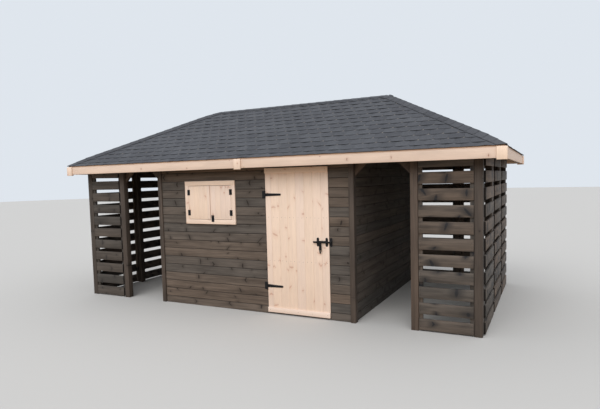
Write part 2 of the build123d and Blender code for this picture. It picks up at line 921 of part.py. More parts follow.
keeper_x = door_right + keeper_from_edge
with BuildPart() as bolt_keeper:
    loop(keeper_x, board_face, bolt_radius + 2 * bolt_clearance, bolt_plate_width)
save(bolt_keeper.part, "bolt_keeper")

bolt_tip = keeper_x + bolt_loop_width / 2 + keeper_reach - bolt_throw
handle_x = door_right - handle_from_edge
handle_wide_z = bolt_height - handle_widest
handle_round_z = bolt_height - handle_length + handle_tip / 2
with BuildPart() as bolt_rod:
    with BuildSketch(Plane.YZ.offset(bolt_tip - bolt_length)):
        with Locations((bolt_y, bolt_height)):
            Circle(bolt_radius)
    extrude(amount=bolt_length)
    with BuildSketch(Plane.YZ.offset(handle_x - collar_width / 2)):
        with Locations((bolt_y, bolt_height)):
            Circle(collar_radius)
    extrude(amount=collar_width)
    with BuildSketch(Plane.XZ.offset(-bolt_y - handle_thickness / 2)):
        with BuildLine():
            Polyline(
                (handle_x - handle_tip / 2, handle_round_z),
                (handle_x - handle_width / 2, handle_wide_z),
                (handle_x - handle_root / 2, bolt_height),
                (handle_x + handle_root / 2, bolt_height),
                (handle_x + handle_width / 2, handle_wide_z),
                (handle_x + handle_tip / 2, handle_round_z),
            )
            ThreePointArc(
                (handle_x + handle_tip / 2, handle_round_z),
                (handle_x, bolt_height - handle_length),
                (handle_x - handle_tip / 2, handle_round_z),
            )
        make_face()
        with Locations((handle_x, (handle_wide_z + handle_round_z) / 2)):
            SlotOverall(handle_slot_length, handle_slot_width, rotation=90, mode=Mode.SUBTRACT)
    extrude(amount=handle_thickness)
save(bolt_rod.part, "bolt_rod")

# Shutter: a frame planted on the boards, and two plank leaves flush in it
shutter_face = board_face - shutter_frame_thickness
shutter_x = (shutter_centre_x - shutter_width / 2, shutter_centre_x + shutter_width / 2)
shutter_z = (shutter_bottom, shutter_bottom + shutter_height)
with BuildPart() as shutter_frame:
    bar(shutter_x, (shutter_face, board_face), shutter_z)
    bar(window_x, (shutter_face, board_face), window_z, mode=Mode.SUBTRACT)
save(shutter_frame.part, "shutter_frame")

leaf_z = (window_z[0] + shutter_leaf_gap, window_z[1] - shutter_leaf_gap)
leaf_y = (shutter_face, shutter_face + shutter_leaf_thickness)
joint_side = shutter_centre_x + shutter_joint_off_middle - shutter_leaf_gap / 2
with BuildPart() as shutter_leaves:
    bar((window_x[0] + shutter_leaf_gap, joint_side), leaf_y, leaf_z)
    bar((joint_side - astragal_width, joint_side), (shutter_face - astragal_thickness, shutter_face), leaf_z)
    bar((joint_side + shutter_leaf_gap, window_x[1] - shutter_leaf_gap), leaf_y, leaf_z)
save(shutter_leaves.part, "shutter_leaves")

# Small butt hinges across the joint of frame and leaf, and a bolt at the foot of the right leaf
shutter_bolt_x = joint_side + shutter_bolt_from_joint
shutter_bolt_low = window_z[0] - shutter_bolt_drop
with BuildPart() as shutter_fittings:
    for x in (window_x[0] + shutter_leaf_gap / 2, window_x[1] - shutter_leaf_gap / 2):
        for z in (window_z[0] + shutter_hinge_inset, window_z[1] - shutter_hinge_inset):
            hinge_x = (x - shutter_hinge_width / 2, x + shutter_hinge_width / 2)
            hinge_z = (z - shutter_hinge_height / 2, z + shutter_hinge_height / 2)
            bar(hinge_x, (shutter_face - shutter_fitting_thickness, shutter_face), hinge_z)
            with BuildSketch(Plane.XY.offset(hinge_z[0])):
                with Locations((x, shutter_face - shutter_fitting_thickness)):
                    Circle(shutter_knuckle_radius)
            extrude(amount=shutter_hinge_height)
            bar(
                (x - shutter_knuckle_radius, x + shutter_knuckle_radius),
                (shutter_face, shutter_face + shutter_knuckle_radius),
                hinge_z,
                mode=Mode.SUBTRACT,
            )
    bolt_plate_x = (shutter_bolt_x - shutter_bolt_width / 2, shutter_bolt_x + shutter_bolt_width / 2)
    bar(
        bolt_plate_x,
        (shutter_face - shutter_fitting_thickness, shutter_face),
        (shutter_bolt_low, shutter_bolt_low + shutter_bolt_length),
    )
    with BuildSketch(Plane.XY.offset(shutter_bolt_low)):
        with Locations((shutter_bolt_x, shutter_face - shutter_fitting_thickness - shutter_bolt_radius / 2)):
            Circle(shutter_bolt_radius)
    extrude(amount=shutter_bolt_length)
save(shutter_fittings.part, "shutter_fittings")
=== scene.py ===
import math
import random

import bmesh
import bpy
from mathutils import Matrix, Vector


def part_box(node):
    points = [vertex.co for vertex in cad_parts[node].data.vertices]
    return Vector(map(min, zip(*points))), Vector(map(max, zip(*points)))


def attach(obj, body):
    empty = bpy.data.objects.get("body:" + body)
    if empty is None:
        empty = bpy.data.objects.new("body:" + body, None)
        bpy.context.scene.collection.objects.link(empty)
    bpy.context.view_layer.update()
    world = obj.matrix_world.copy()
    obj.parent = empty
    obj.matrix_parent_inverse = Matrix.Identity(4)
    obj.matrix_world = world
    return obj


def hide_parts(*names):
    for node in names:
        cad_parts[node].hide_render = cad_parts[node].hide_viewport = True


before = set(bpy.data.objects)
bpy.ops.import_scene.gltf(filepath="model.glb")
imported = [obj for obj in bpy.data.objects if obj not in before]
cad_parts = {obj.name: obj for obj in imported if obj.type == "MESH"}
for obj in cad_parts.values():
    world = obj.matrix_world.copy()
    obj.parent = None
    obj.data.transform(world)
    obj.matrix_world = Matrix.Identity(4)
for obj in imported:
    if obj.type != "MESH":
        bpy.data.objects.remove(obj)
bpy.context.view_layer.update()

# Metres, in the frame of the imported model. Sizes named as in the part's source have its values.
board_cover = 0.1174
first_board_line = 0.0984
board_ease = 0.0035
least_board = 0.01
board_joint = 0.0055
joint_depth = 0.009
tongue_half = 0.006
tongue_ease = 0.0005
slat_height = 0.130
slat_gap = 0.0517
slat_base = 0.014
slat_thickness = 0.020
slat_ease = 0.0025
batten_width = 0.045
post_size = 0.085
left_panel_short = 0.025
slat_end_gap = 0.005
outside_slat_gap = 0.012
middle_post_rows = (-0.5, 0.5)
batten_thickness = 0.030
batten_ease = 0.002
screw_radius = 0.0035
screw_from_end = 0.020
screw_heights = (0.3, 0.7)
head_thickness = 0.0016
head_taper = 0.8

door_first_line = 0.080
door_plank = 0.117
door_plank_ease = 0.0036
door_rail_height = 0.065
door_rail_thickness = 0.015
door_rail_ease = 0.003
ledge_height = 0.095
ledge_thickness = 0.020
ledge_inset = 0.040
ledge_ease = 0.004
ledge_heights = (0.700, 1.257)
nail_radius = 0.0034
nail_wander = 0.004
rail_nails = (0.04, 0.27, 0.5, 0.73, 0.96)
plank_nails = (0.27, 0.73)
narrow_plank = 0.09

shutter_bar = 0.062
shutter_leaf_gap = 0.004
astragal_width = 0.043
shutter_plank = 0.082
widest_shutter_plank = 1.35 * shutter_plank
shutter_plank_ease = 0.0018
shutter_ease = 0.0025
shutter_joint_off_middle = 0.015
strip_groove = 0.005
strip_ease = 0.003
behind_strip_ease = 0.001

roof_pitch = math.radians(27.0)
eaves_height = 2.020
fascia_thickness = 0.020
deck_thickness = 0.018
deck_board = 0.0955
deck_ease = 0.002
deck_under_covering = 0.0002
covering_drip = 0.015
shingle_exposure = 0.1425
shingle_width = 0.160
shingle_slot = 0.0016
shingle_thickness = 0.0030
shingle_hidden = 0.055
first_course_back = 0.006
starter_exposure = 0.62 * shingle_exposure
shingle_rounding = 0.036
curl_reach = 0.55 * shingle_exposure
tabs_in_strip = 6
course_slip = 0.004
strip_slip = 0.0015
tab_slip = 0.003
cap_half_width = 0.065
cap_exposure = 0.1425
cap_overlap = 0.045
cap_edge_rise = 0.005
foot_crown = 0.010
hip_crown = 0.030
head_crown = 0.010
ridge_crown = 0.006
ridge_held_up = 0.060
cap_ramp = 0.26
shortest_cap = 0.05
ridge_lap = 0.0919
widest_rafter = 0.2
# Painted shade under the fascia's top: where it begins and where it is darkest, measured down from the
# top.
painted_shade_from_top = (0.036, 0.012)

floor_radius = 60.0
floor_drop = 0.0005
weld_distance = 0.00005
level_angle = math.radians(0.6)
sharp_angle = math.radians(31)

photo_width = 600
photo_height = 409
photo_focal = 494.0445
photo_centre_y = 215.2096
camera_place = Vector((3.52256, -6.94763, 1.73502))
camera_yaw = 0.46926
camera_pitch = -0.07266
camera_roll = -0.02562

scene = bpy.context.scene


# Camera at the photograph's place and angle
def place_camera():
    data = bpy.data.cameras.new("camera")
    data.sensor_width = 36.0
    data.sensor_fit = "HORIZONTAL"
    data.lens = photo_focal / photo_width * data.sensor_width
    data.shift_y = (photo_centre_y - photo_height / 2) / photo_width
    ahead = Vector((
        -math.sin(camera_yaw) * math.cos(camera_pitch),
        math.cos(camera_yaw) * math.cos(camera_pitch),
        math.sin(camera_pitch),
    ))
    level = Vector((math.cos(camera_yaw), math.sin(camera_yaw), 0.0))
    upright = level.cross(ahead)
    right = level * math.cos(camera_roll) + upright * math.sin(camera_roll)
    top = upright * math.cos(camera_roll) - level * math.sin(camera_roll)
    turn = Matrix((right, top, -ahead)).transposed().to_4x4()
    camera = bpy.data.objects.new("camera", data)
    camera.matrix_world = Matrix.Translation(camera_place) @ turn
    scene.collection.objects.link(camera)
    scene.camera = camera


place_camera()
scene.view_settings.view_transform = "Standard"


# Shader nodes
def node(tree, kind, sockets=None, **settings):
    """Adds one node. A socket's value is a number, a colour or the output that feeds it."""
    made = tree.nodes.new("ShaderNode" + kind)
    for key, value in settings.items():
        setattr(made, key, value)
    for key, value in (sockets or {}).items():
        if isinstance(value, bpy.types.NodeSocket):
            tree.links.new(value, made.inputs[key])
        else:
            made.inputs[key].default_value = value
    return made


def sums(tree, operation, *values):
    return node(tree, "Math", dict(enumerate(values)), operation=operation).outputs[0]


def stretch(tree, vector, scale):
    return node(tree, "VectorMath", {0: vector, 1: scale}, operation="MULTIPLY").outputs[0]


def noise(tree, vector, scale, detail=2.0, roughness=0.5):
    sockets = {"Vector": vector, "Scale": scale, "Detail": detail, "Roughness": roughness}
    return node(tree, "TexNoise", sockets).outputs["Fac"]


def object_place(tree):
    return node(tree, "TexCoord").outputs["Object"]


def attribute(tree, name):
    return node(tree, "Attribute", attribute_name=name).outputs["Fac"]


def fade(tree, value, low, high, bottom=0.0, top=1.0):
    """Runs smoothly from bottom to top as the value goes from low to high."""
    sockets = {"Value": value, "From Min": low, "From Max": high, "To Min": bottom, "To Max": top}
    return node(tree, "MapRange", sockets, interpolation_type="SMOOTHSTEP").outputs["Result"]


def blend(tree, share, first, second, kind="MIX"):
    """Mixes two colours, each three numbers or the output that feeds it."""
    sockets = {0: share}
    for index, colour in ((6, first), (7, second)):
        sockets[index] = (*colour, 1.0) if isinstance(colour, tuple) else colour
    return node(tree, "Mix", sockets, data_type="RGBA", blend_type=kind).outputs[2]


def shaded(tree, colour, light):
    """A colour times a brightness."""
    grey = node(tree, "CombineXYZ", {0: light, 1: light, 2: light}).outputs[0]
    return blend(tree, 1.0, colour, grey, "MULTIPLY")


def group_of(name, inputs, outputs):
    tree = bpy.data.node_groups.new(name, "ShaderNodeTree")
    for label, kind, value in inputs:
        socket = tree.interface.new_socket(label, in_out="INPUT", socket_type=kind)
        if value is not None:
            socket.default_value = value
    for label, kind in outputs:
        tree.interface.new_socket(label, in_out="OUTPUT", socket_type=kind)
    return tree, tree.nodes.new("NodeGroupInput").outputs, tree.nodes.new("NodeGroupOutput").inputs


def outward(tree, first, second):
    """Distance from the middle of an oval whose edge is at 1."""
    squares = [sums(tree, "MULTIPLY", value, value) for value in (first, second)]
    return sums(tree, "SQRT", sums(tree, "ADD", *squares))


def pine_grain():
    """Pine as sawn: growth rings, fibres, slanted knots, and a tone of its own for each board."""
    colour, number, vector = "NodeSocketColor", "NodeSocketFloat", "NodeSocketVector"
    tree, given, result = group_of(
        "pine grain",
        [
            ("Place", vector, None),
            ("Tone", number, 0.5),
            ("Warm", colour, None),
            ("Cool", colour, None),
            ("Rings", colour, None),
            ("Knots", colour, None),
            ("Ring strength", number, 0.3),
            ("Streaks", number, 0.3),
            ("Clouds", number, 0.3),
            ("Knot share", number, 0.5),
            ("Knot size", number, 1.0),
            ("Knot strength", number, 0.85),
            ("Knot slant", number, 1.1),
            ("Stain", number, 0.4),
        ],
        [("Colour", colour), ("Height", number), ("Knot", number)],
    )
    spacing, lane = 0.33, 0.115
    cells = stretch(tree, given["Place"], (1 / spacing, 1 / lane, 0.0))
    found = node(
        tree, "TexVoronoi", {"Vector": cells, "Scale": 1.0, "Randomness": 0.8}, voronoi_dimensions="2D"
    )
    apart = node(tree, "VectorMath", {0: cells, 1: found.outputs["Position"]}, operation="SUBTRACT")
    metres = node(tree, "SeparateXYZ", {0: stretch(tree, apart.outputs[0], (spacing, lane, 0.0))}).outputs
    chance = node(tree, "SeparateColor", {0: found.outputs["Color"]}).outputs
    slant = sums(tree, "MULTIPLY", sums(tree, "MULTIPLY_ADD", chance[0], 2.0, -1.0), given["Knot slant"])
    paired = sums(tree, "GREATER_THAN", sums(tree, "FRACT", sums(tree, "MULTIPLY", chance[2], 5.1)), 0.55)
    mirrored = sums(tree, "MULTIPLY", paired, sums(tree, "ABSOLUTE", metres[1]))
    single = sums(tree, "MULTIPLY", sums(tree, "SUBTRACT", 1.0, paired), metres[1])
    lean = sums(tree, "MULTIPLY", slant, sums(tree, "ADD", mirrored, single))
    along = sums(tree, "SUBTRACT", metres[0], lean)
    wobble = sums(tree, "MULTIPLY_ADD", noise(tree, given["Place"], 60.0), 0.012, -0.006)
    along = sums(tree, "ADD", along, wobble)
    tall = sums(tree, "MULTIPLY", fade(tree, chance[1], 0.0, 1.0, 0.009, 0.034), given["Knot size"])
    wide = sums(tree, "MULTIPLY", fade(tree, chance[2], 0.0, 1.0, 0.006, 0.011), given["Knot size"])
    reach = outward(tree, sums(tree, "DIVIDE", along, wide), sums(tree, "DIVIDE", metres[1], tall))
    flame = sums(tree, "DIVIDE", along, sums(tree, "MULTIPLY", wide, 4.5))
    flame = outward(tree, flame, sums(tree, "DIVIDE", metres[1], sums(tree, "MULTIPLY", tall, 1.5)))
    draw = sums(tree, "FRACT", sums(tree, "MULTIPLY", chance[0], 7.3))
    present = sums(tree, "LESS_THAN", draw, given["Knot share"])
    knot = sums(tree, "MULTIPLY", fade(tree, reach, 0.6, 1.15, 1.0, 0.0), present)
    halo = sums(tree, "MULTIPLY", fade(tree, reach, 0.8, 3.4, 1.0, 0.0), present)
    stain = sums(tree, "MULTIPLY", fade(tree, flame, 0.1, 1.5, 1.0, 0.0), present)
    parts = node(tree, "SeparateXYZ", {0: given["Place"]}).outputs
    aside = sums(tree, "MULTIPLY", sums(tree, "MULTIPLY", metres[1], halo), -0.45)
    bent = sums(tree, "ADD", parts[1], aside)
    slow = noise(tree, stretch(tree, given["Place"], (0.5, 4.5, 4.5)), 1.0, 2.0)
    phase = sums(tree, "ADD", sums(tree, "MULTIPLY", bent, 620.0), sums(tree, "MULTIPLY", slow, 42.0))
    ring = sums(tree, "POWER", sums(tree, "MULTIPLY_ADD", sums(tree, "SINE", phase), 0.5, 0.5), 2.2)
    streak = noise(tree, stretch(tree, given["Place"], (1.1, 21.0, 21.0)), 1.0, 4.0, 0.74)
    fibre = noise(tree, stretch(tree, given["Place"], (9.0, 340.0, 340.0)), 1.0, 2.0)
    cloud = noise(tree, stretch(tree, given["Place"], (2.3, 8.0, 8.0)), 1.0, 2.0)
    base = blend(tree, given["Tone"], given["Warm"], given["Cool"])
    base = blend(tree, sums(tree, "MULTIPLY", ring, given["Ring strength"]), base, given["Rings"])
    light = sums(
        tree,
        "ADD",
        sums(tree, "MULTIPLY", sums(tree, "SUBTRACT", streak, 0.5), given["Streaks"]),
        sums(tree, "MULTIPLY_ADD", sums(tree, "SUBTRACT", cloud, 0.5), given["Clouds"], 1.0),
    )
    light = sums(tree, "ADD", light, sums(tree, "MULTIPLY", sums(tree, "SUBTRACT", fibre, 0.5), 0.22))
    base = shaded(tree, base, light)
    stain = sums(tree, "MULTIPLY", stain, sums(tree, "MULTIPLY_ADD", streak, 1.6, -0.1))
    base = blend(tree, sums(tree, "MULTIPLY", stain, given["Stain"]), base, given["Knots"])
    base = blend(tree, sums(tree, "MULTIPLY", knot, given["Knot strength"]), base, given["Knots"])
    height = sums(tree, "ADD", sums(tree, "MULTIPLY", ring, 0.35), sums(tree, "MULTIPLY", fibre, 0.6))
    tree.links.new(base, result["Colour"])
    tree.links.new(sums(tree, "SUBTRACT", height, sums(tree, "MULTIPLY", knot, 0.25)), result["Height"])
    tree.links.new(knot, result["Knot"])
    return tree


pine_group = pine_grain()


def finish_of(name, **same_all_over):
    """A new material, its tree and its shader, with the numbers that are the same all over."""
    material = bpy.data.materials.new(name)
    material.use_nodes = True
    tree = material.node_tree
    surface = tree.nodes["Principled BSDF"]
    for key, value in same_all_over.items():
        surface.inputs[key.replace("_", " ")].default_value = value
    return material, tree, surface


def coat(tree, surface, colour, height=None, depth=0.0, roughness=None):
    """Feeds the shader what changes over the surface: its colour, relief and roughness."""
    tree.links.new(colour, surface.inputs["Base Color"])
    if height is not None:
        bump = node(tree, "Bump", {"Height": height, "Distance": depth, "Strength": 1.0})
        tree.links.new(bump.outputs[0], surface.inputs["Normal"])
    if roughness is not None:
        tree.links.new(roughness, surface.inputs["Roughness"])


def pine(name, roughness, depth, specular, **looks):
    """A timber finish that follows each board by its own place and tone.

    looks are the inputs of the pine grain, written as one word each.
    """
    material, tree, surface = finish_of(name, Specular_IOR_Level=specular)
    sockets = {
        "Place": node(tree, "Attribute", attribute_name="grain").outputs["Vector"],
        "Tone": attribute(tree, "tone"),
    }
    for key, value in looks.items():
        key = key.replace("_", " ").capitalize()
        sockets[key] = (*value, 1.0) if isinstance(value, tuple) else value
    grain = node(tree, "Group", sockets, node_tree=pine_group)
    height = grain.outputs["Height"]
    rough = sums(tree, "MULTIPLY_ADD", height, 0.18, roughness)
    coat(tree, surface, grain.outputs["Colour"], height, depth, rough)
    return material


stained_boards = pine(
    "stained boards", 0.64, 0.0005, 0.15,
    warm=(0.138, 0.105, 0.082), cool=(0.096, 0.088, 0.080), rings=(0.064, 0.053, 0.046),
    ring_strength=0.32, streaks=2.0, clouds=0.65, knots=(0.026, 0.021, 0.019),
    knot_share=0.50, knot_size=1.35, knot_strength=0.85, knot_slant=1.1, stain=0.45,
)
stained_slats = pine(
    "stained slats", 0.60, 0.0006, 0.35,
    warm=(0.130, 0.096, 0.073), cool=(0.076, 0.068, 0.060), rings=(0.052, 0.043, 0.037),
    ring_strength=0.35, streaks=2.4, clouds=1.2, knots=(0.009, 0.009, 0.011),
    knot_share=0.62, knot_size=1.9, knot_strength=0.9, knot_slant=0.8, stain=0.95,
)
# Stained slats with fewer, smaller knots and darker all over. The darkness is painted shade. Only the
# left bay's entrance panel has them.
shaded_calm_slats = pine(
    "calm stained slats in painted shade", 0.60, 0.0006, 0.25,
    warm=(0.086, 0.072, 0.061), cool=(0.064, 0.059, 0.053), rings=(0.046, 0.040, 0.036),
    ring_strength=0.35, streaks=1.9, clouds=0.8, knots=(0.016, 0.014, 0.013),
    knot_share=0.50, knot_size=1.3, knot_strength=0.85, knot_slant=0.8, stain=0.45,
)
stained_posts = pine(
    "stained posts", 0.60, 0.0005, 0.25,
    warm=(0.114, 0.083, 0.064), cool=(0.067, 0.056, 0.048), rings=(0.052, 0.042, 0.036),
    ring_strength=0.40, streaks=1.6, clouds=0.7, knots=(0.018, 0.015, 0.013),
    knot_share=0.22, knot_size=1.2, knot_strength=0.8, knot_slant=0.6, stain=0.4,
)
roof_timber = pine(
    "roof timber", 0.60, 0.0005, 0.5,
    warm=(0.16, 0.125, 0.098), cool=(0.12, 0.10, 0.082), rings=(0.085, 0.066, 0.052),
    ring_strength=0.45, streaks=0.8, clouds=0.5, knots=(0.05, 0.035, 0.028),
    knot_share=0.40, knot_size=1.0, knot_strength=0.8, knot_slant=0.8, stain=0.4,
)
raw_pine = pine(
    "raw pine", 0.48, 0.00025, 0.5,
    warm=(0.866, 0.694, 0.554), cool=(0.832, 0.689, 0.597), rings=(0.76, 0.530, 0.405),
    ring_strength=0.24, streaks=0.24, clouds=0.12, knots=(0.56, 0.310, 0.215),
    knot_share=0.55, knot_size=1.25, knot_strength=0.62, knot_slant=1.3, stain=0.28,
)
fascia_pine = pine(
    "fascia pine", 0.48, 0.00025, 0.5,
    warm=(0.772, 0.632, 0.545), cool=(0.762, 0.612, 0.508), rings=(0.68, 0.482, 0.380),
    ring_strength=0.28, streaks=0.30, clouds=0.25, knots=(0.30, 0.132, 0.090),
    knot_share=0.34, knot_size=0.60, knot_strength=0.75, knot_slant=0.3, stain=0.20,
)


# Near-black stained end grain for the slats' cut ends. The wall boards' tongues also wear it, as painted
# shade deep in the joints.
def end_grain_and_joint_shade_finish():
    material, tree, surface = finish_of("stained end grain and painted joint shade", Roughness=0.7, Specular_IOR_Level=0.2)
    pores = noise(tree, object_place(tree), 500.0, 3.0, 0.6)
    ink = blend(tree, pores, (0.008, 0.007, 0.007), (0.022, 0.019, 0.017))
    coat(tree, surface, ink, pores, 0.0004)
    return material


def shingle_finish():
    """Dark mineral grit, paler in specks and in what shows through the notches of the course above."""
    material, tree, surface = finish_of("mineral shingle", Roughness=0.9, Specular_IOR_Level=0.2)
    place = object_place(tree)
    grit = noise(tree, place, 900.0, 2.0, 0.7)
    patch = noise(tree, place, 34.0, 3.0, 0.6)
    wide = noise(tree, place, 2.2, 2.0)
    base = blend(tree, attribute(tree, "tone"), (0.066, 0.069, 0.079), (0.083, 0.087, 0.098))
    light = sums(tree, "MULTIPLY_ADD", grit, 1.1, 0.45)
    light = sums(tree, "MULTIPLY", light, sums(tree, "MULTIPLY_ADD", patch, 0.55, 0.72))
    light = sums(tree, "MULTIPLY", light, sums(tree, "MULTIPLY_ADD", wide, 0.30, 0.85))
    base = shaded(tree, base, light)
    speck = sums(tree, "MULTIPLY", fade(tree, noise(tree, place, 310.0, 1.0), 0.74, 0.80), 0.35)
    base = blend(tree, speck, base, (0.30, 0.29, 0.28))
    notch = fade(tree, attribute(tree, "weather"), 0.42, 0.24)
    notch = sums(tree, "MULTIPLY", notch, fade(tree, patch, 0.40, 0.60, 0.30, 0.9))
    base = blend(tree, notch, base, (0.250, 0.220, 0.185))
    coat(tree, surface, base, grit, 0.0008)
    return material


def bitumen_finish():
    material, tree, surface = finish_of("cut bitumen edge", Roughness=0.8)
    crumb = noise(tree, object_place(tree), 400.0, 3.0, 0.6)
    black = blend(tree, crumb, (0.012, 0.013, 0.015), (0.050, 0.052, 0.056))
    coat(tree, surface, black, crumb, 0.0006)
    return material


def iron_finish():
    """Dull black powder coat with a faint orange peel."""
    material, tree, surface = finish_of("black powder coat", Specular_IOR_Level=0.25)
    place = object_place(tree)
    peel = noise(tree, place, 700.0, 2.0)
    smear = noise(tree, place, 24.0, 3.0, 0.6)
    black = blend(tree, smear, (0.0035, 0.0035, 0.0040), (0.010, 0.010, 0.011))
    coat(tree, surface, black, peel, 0.00025, sums(tree, "MULTIPLY_ADD", smear, 0.25, 0.48))
    return material


def nail_finish():
    material, tree, surface = finish_of("dull nail", Metallic=0.6)
    dull = noise(tree, object_place(tree), 300.0, 2.0)
    steel = blend(tree, dull, (0.13, 0.105, 0.09), (0.20, 0.17, 0.15))
    coat(tree, surface, steel, roughness=sums(tree, "MULTIPLY_ADD", dull, 0.3, 0.35))
    return material


end_grain_and_joint_shade = end_grain_and_joint_shade_finish()
mineral_shingle = shingle_finish()
cut_bitumen = bitumen_finish()
black_iron = iron_finish()
dull_nail = nail_finish()


# Mesh making
directions = [Vector((1, 0, 0)), Vector((0, 1, 0)), Vector((0, 0, 1))]
whole_range = (0.0, 1.0)


def new_mesh():
    """An empty bmesh with the attributes that a board's grain and tone are kept in."""
    bm = bmesh.new()
    bm.verts.layers.float_vector.new("grain")
    bm.verts.layers.float.new("tone")
    bm.verts.layers.float.new("weather")
    return bm


def give_grain(bm, verts, origin, along, across, rng, tone=None):
    """Writes the verts' distances along, across and through their board, moved to a place of its own."""
    grain = bm.verts.layers.float_vector["grain"]
    shade = bm.verts.layers.float["tone"]
    through = along.cross(across)
    shift = Vector((rng.uniform(0, 60), rng.uniform(0, 9), rng.uniform(0, 9)))
    value = rng.random() if tone is None else tone
    for v in verts:
        d = v.co - origin
        v[grain] = Vector((d.dot(along), d.dot(across), d.dot(through))) + shift
        v[shade] = value


def ease_all(bm, verts, width, segments=2):
    edges = list({e for v in verts for e in v.link_edges})
    made = bmesh.ops.bevel(
        bm,
        geom=edges,
        offset=width,
        offset_type="OFFSET",
        affect="EDGES",
        segments=segments,
        profile=0.5,
        material=-1,
        clamp_overlap=True,
    )
    return made["verts"]


def board(bm, x, y, z, rng, ease, along=None, segments=2, tone=None, cut_ends=False):
    """One planed board between the low and high values of x, y and z, its grain along its length."""
    low, high = Vector((x[0], y[0], z[0])), Vector((x[1], y[1], z[1]))
    size = high - low
    made = bmesh.ops.create_cube(bm, size=1.0)["verts"]
    bmesh.ops.scale(bm, vec=size, verts=made)
    bmesh.ops.translate(bm, vec=(low + high) / 2, verts=made)
    order = sorted(range(3), key=lambda axis: -size[axis])
    length = "xyz".index(along) if along else order[0]
    breadth = next(axis for axis in order if axis != length)
    made = ease_all(bm, made, ease, segments)
    give_grain(bm, made, (low + high) / 2, directions[length], directions[breadth], rng, tone)
    if cut_ends:
        for face in {f for v in made for f in v.link_faces}:
            face.normal_update()
            if abs(face.normal.dot(directions[length])) > 0.9:
                face.material_index = 1
    return made


def pour(bm, whole):
    """Moves all of one bmesh into another."""
    mesh = bpy.data.meshes.new("poured")
    bm.to_mesh(mesh)
    bm.free()
    whole.from_mesh(mesh)
    bpy.data.meshes.remove(mesh)


def saw_off(bm, point, normal, close=True):
    """Cuts away what lies past a plane, and closes the cut."""
    made = bmesh.ops.bisect_plane(
        bm,
        geom=[*bm.verts, *bm.edges, *bm.faces],
        plane_co=point,
        plane_no=normal.normalized(),
        clear_outer=True,
    )
    if close:
        edges = [e for e in made["geom_cut"] if isinstance(e, bmesh.types.BMEdge)]
        bmesh.ops.holes_fill(bm, edges=edges, sides=0)


def add_piece(name, bm, finishes, body, nodes=(), smooth=True):
    """Makes the bmesh a piece of the model, shown in place of the CAD nodes that it stands for."""
    mesh = bpy.data.meshes.new(name)
    if smooth:
        for face in bm.faces:
            face.smooth = True
    bm.to_mesh(mesh)
    bm.free()
    for finish in finishes:
        mesh.materials.append(finish)
    if smooth:
        mesh.set_sharp_from_angle(angle=sharp_angle)
    piece = bpy.data.objects.new(name, mesh)
    scene.collection.objects.link(piece)
    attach(piece, body)
    if nodes:
        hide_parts(*nodes)


def solids_of(bm):
    """The separate solids of a merged mesh, each as a list of its verts."""
    left = set(bm.verts)
    found = []
    while left:
        edge = [left.pop()]
        solid = []
        while edge:
            v = edge.pop()
            solid.append(v)
            for link in v.link_edges:
                other = link.other_vert(v)
                if other in left:
                    left.remove(other)
                    edge.append(other)
        found.append(solid)
    return sorted(found, key=lambda verts: tuple(round(c, 4) for c in verts_middle(verts)))


def verts_reach(verts):
    """The verts' low and high value on each axis."""
    return [(min(v.co[axis] for v in verts), max(v.co[axis] for v in verts)) for axis in range(3)]


def verts_middle(verts):
    return Vector((low + high) / 2 for low, high in verts_reach(verts))


def longest_way(verts):
    spans = [high - low for low, high in verts_reach(verts)]
    order = sorted(range(3), key=lambda axis: -spans[axis])
    return directions[order[0]], directions[order[1]]


def dressed(
    node_name, name, finish, body,
    ease=0.002, way=longest_way, segments=2, tones=whole_range,
):
    """A node's own solids with their edges rounded, each timber with its grain along its length."""
    rng = random.Random(name)
    bm = new_mesh()
    source = bmesh.new()
    source.from_mesh(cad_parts[node_name].data)
    bmesh.ops.remove_doubles(source, verts=source.verts, dist=weld_distance)
    bmesh.ops.dissolve_limit(source, angle_limit=level_angle, verts=source.verts, edges=source.edges)
    pour(source, bm)
    facts = []
    for verts in solids_of(bm):
        along, across = way(verts)
        facts.append((verts_middle(verts), along, across))
    ease_all(bm, list(bm.verts), ease, segments)
    for verts in solids_of(bm):
        middle = verts_middle(verts)
        origin, along, across = min(facts, key=lambda fact: (fact[0] - middle).length)
        give_grain(bm, verts, origin, along, across, rng, rng.uniform(*tones))
    bmesh.ops.recalc_face_normals(bm, faces=bm.faces)
    add_piece(name, bm, [finish], body, [node_name])


def rows_of_boards(low, high):
    """Lower and upper heights of a wall's boards, on lines that run round the whole building."""
    count = int((high - first_board_line) / board_cover) + 1
    lines = [first_board_line + board_cover * row for row in range(count)]
    lines = [low] + [line for line in lines if low + least_board < line < high - least_board]
    return list(zip(lines, lines[1:] + [high]))


def cut_round(row, opening):
    """Saws a row's board, which is (start, end, bottom, top), into pieces round an opening."""
    start, end, bottom, top = row
    left, right, sill, head = opening
    if top <= sill or bottom >= head:
        return [row]
    pieces = [(start, left, bottom, top), (right, end, bottom, top)]
    if bottom < sill:
        pieces.append((left, right, bottom, sill))
    if top > head:
        pieces.append((left, right, head, top))
    return pieces


